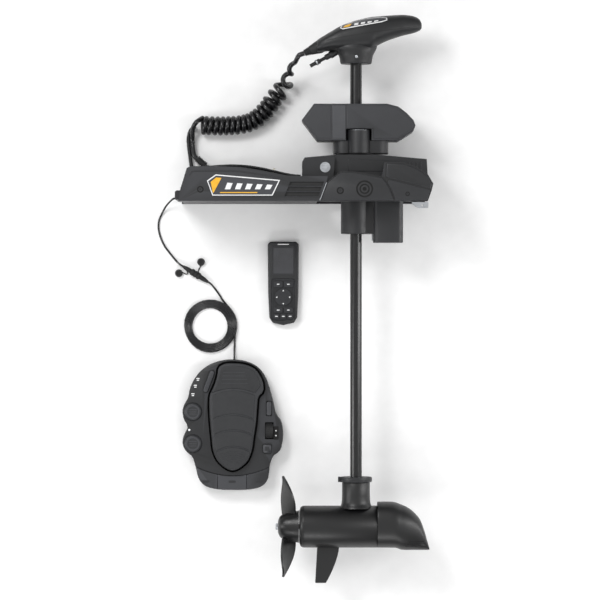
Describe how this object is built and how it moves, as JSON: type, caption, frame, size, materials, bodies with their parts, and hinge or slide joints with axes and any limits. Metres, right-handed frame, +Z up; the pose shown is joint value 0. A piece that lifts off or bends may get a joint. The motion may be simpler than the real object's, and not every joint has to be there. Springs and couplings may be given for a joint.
{
  "type": "trolling motor",
  "caption": "Bow-mount electric trolling motor with power trim and stow, control head, propeller pod, skeg, curly cord, corded foot pedal and hand remote.",
  "frame": {"origin": "middle of the footprint on the surface that the motor, its pedal and its remote lie on, cords left out", "axes": "+X towards the bow, +Y up the shaft towards the control head, +Z up from the surface, out of the side of the motor that faces the viewer"},
  "size_m": [0.6752, 1.39, 0.258],
  "materials": {
    "deck_aluminium": "black powder coat over aluminium",
    "cover_plastic": "fine-textured moulded plastic",
    "dark_plastic": "moulded glass-filled nylon",
    "trim_plastic": "charcoal moulded plastic",
    "cast_paint": "black painted casting",
    "steel": "bright stainless steel",
    "gear_nylon": "natural nylon",
    "shaft_composite": "satin pultruded composite",
    "circuit_board": "green laminate",
    "magnet": "dark ferrite",
    "copper_winding": "varnished windings on an iron core",
    "prop_plastic": "satin moulded composite",
    "pedal_plastic": "textured moulded plastic",
    "treadle_plastic": "grippy grained plastic",
    "button_plastic": "smooth moulded plastic",
    "remote_plastic": "satin moulded plastic",
    "keypad_silicone": "moulded silicone",
    "cord_rubber": "satin polyurethane jacket",
    "soft_rubber": "matt moulded rubber"
  },
  "bodies": {
    "base": {"deck_frame": "deck_aluminium", "side_cover_near": "cover_plastic", "side_cover_far": "cover_plastic", "bow_cover_near": "cover_plastic", "bow_cover_far": "cover_plastic", "aft_end_cap": "dark_plastic", "bow_bracket": "steel", "tilt_bolt": "steel", "pedal_base": "soft_rubber", "pedal_housing": "pedal_plastic", "remote_case": "remote_plastic", "remote_keypad": "keypad_silicone", "curly_cord_lead": "cord_rubber", "curly_cord_coil": "cord_rubber", "curly_cord_tail": "cord_rubber", "cord_relief": "soft_rubber", "deck_cable": "cord_rubber", "pedal_cord_a": "cord_rubber", "pedal_cord_b": "cord_rubber", "pedal_cord_c": "cord_rubber", "pedal_cord_coil": "cord_rubber", "cord_connector": "soft_rubber", "connector_cap_aft": "soft_rubber", "connector_cap_bow": "soft_rubber"},
    "carriage": {"carriage_frame": "dark_plastic", "steering_housing": "dark_plastic", "steering_motor": "steel"},
    "pinion": {"steering_pinion": "steel"},
    "trim_module": {"steering_gear": "gear_nylon", "turn_collar": "dark_plastic", "trim_case_near": "trim_plastic", "trim_case_far": "trim_plastic", "trim_motor": "steel"},
    "roller_bow": {"trim_roller_bow": "soft_rubber"},
    "roller_aft": {"trim_roller_aft": "soft_rubber"},
    "shaft_assembly": {"shaft_tube": "shaft_composite", "head_upper": "cover_plastic", "head_lower": "cover_plastic", "head_board": "circuit_board", "head_boot": "soft_rubber", "network_plug": "dark_plastic", "motor_shell": "cast_paint", "aft_bell": "cast_paint", "stator_magnets": "magnet", "nose_casting": "cast_paint", "neck_casting": "cast_paint", "clamp_collar": "dark_plastic", "skeg": "cast_paint"},
    "prop": {"propeller": "prop_plastic", "armature": "copper_winding"},
    "treadle": {"pedal_treadle": "treadle_plastic"},
    "wheel": {"speed_wheel": "soft_rubber"},
    "rocker": {"mode_rocker": "button_plastic"},
    "prop_button_upper": {"prop_button_upper": "button_plastic"},
    "prop_button_lower": {"prop_button_lower": "button_plastic"},
    "momentary_button": {"momentary_button": "button_plastic"},
    "anchor_button": {"anchor_button": "button_plastic"},
    "row_button_left": {"row_button_left": "button_plastic"},
    "row_button_middle": {"row_button_middle": "button_plastic"},
    "row_button_right": {"row_button_right": "button_plastic"}
  },
  "joints": [
    {"name": "stow_tilt", "type": "hinge", "parent": "base", "child": "carriage", "pos_m": [0.052, 0.3195, 0.129], "axis": [0, 0, 1], "range_deg": [0, 85], "deforming": ["curly_cord_lead", "curly_cord_coil", "curly_cord_tail"]},
    {"name": "steering", "type": "hinge", "parent": "carriage", "child": "trim_module", "pos_m": [0.128, 0.296, 0.129], "axis": [0, 1, 0], "range_deg": [-180, 180]},
    {"name": "steering_pinion_spin", "type": "hinge", "parent": "carriage", "child": "pinion", "pos_m": [0.1864, 0.302, 0.129], "axis": [0, 1, 0], "range_deg": [-570, 570]},
    {"name": "power_trim", "type": "slide", "parent": "trim_module", "child": "shaft_assembly", "axis": [0, 1, 0], "range_m": [-0.065, 0.55]},
    {"name": "roller_bow_spin", "type": "hinge", "parent": "trim_module", "child": "roller_bow", "pos_m": [0.1626, 0.43, 0.129], "axis": [0, 0, 1], "range_deg": [-1600, 200]},
    {"name": "roller_aft_spin", "type": "hinge", "parent": "trim_module", "child": "roller_aft", "pos_m": [0.0934, 0.43, 0.129], "axis": [0, 0, 1], "range_deg": [-200, 1600]},
    {"name": "prop_spin", "type": "hinge", "parent": "shaft_assembly", "child": "prop", "pos_m": [-0.037, -0.557, 0.129], "axis": [1, 0, 0], "continuous": true},
    {"name": "treadle_rock", "type": "hinge", "parent": "base", "child": "treadle", "pos_m": [-0.172, -0.286, 0.034], "axis": [1, 0, 0], "range_deg": [-7, 7]},
    {"name": "speed_wheel_spin", "type": "hinge", "parent": "base", "child": "wheel", "pos_m": [-0.085, -0.326, 0.032], "axis": [1, 0, 0], "range_deg": [-135, 135]},
    {"name": "mode_rocker_tilt", "type": "hinge", "parent": "base", "child": "rocker", "pos_m": [-0.086, -0.271, 0.036], "axis": [1, 0, 0], "range_deg": [-6, 6], "stiffness_Nm_per_rad": 0.3},
    {"name": "prop_button_upper_press", "type": "slide", "parent": "base", "child": "prop_button_upper", "axis": [0, 0, -1], "range_m": [0, 0.0025], "stiffness_N_per_m": 500},
    {"name": "prop_button_lower_press", "type": "slide", "parent": "base", "child": "prop_button_lower", "axis": [0, 0, -1], "range_m": [0, 0.0025], "stiffness_N_per_m": 500},
    {"name": "momentary_button_press", "type": "slide", "parent": "base", "child": "momentary_button", "axis": [0, 0, -1], "range_m": [0, 0.0025], "stiffness_N_per_m": 500},
    {"name": "anchor_button_press", "type": "slide", "parent": "base", "child": "anchor_button", "axis": [0, 0, -1], "range_m": [0, 0.0025], "stiffness_N_per_m": 500},
    {"name": "row_button_left_press", "type": "slide", "parent": "base", "child": "row_button_left", "axis": [0, 0, -1], "range_m": [0, 0.0025], "stiffness_N_per_m": 500},
    {"name": "row_button_middle_press", "type": "slide", "parent": "base", "child": "row_button_middle", "axis": [0, 0, -1], "range_m": [0, 0.0025], "stiffness_N_per_m": 500},
    {"name": "row_button_right_press", "type": "slide", "parent": "base", "child": "row_button_right", "axis": [0, 0, -1], "range_m": [0, 0.0025], "stiffness_N_per_m": 500}
  ],
  "couplings": [
    {"joint": "steering_pinion_spin", "follows": "steering", "ratio": -3.1429},
    {"joint": "roller_bow_spin", "follows": "power_trim", "rad_per_m": -50},
    {"joint": "roller_aft_spin", "follows": "power_trim", "rad_per_m": 50}
  ]
}
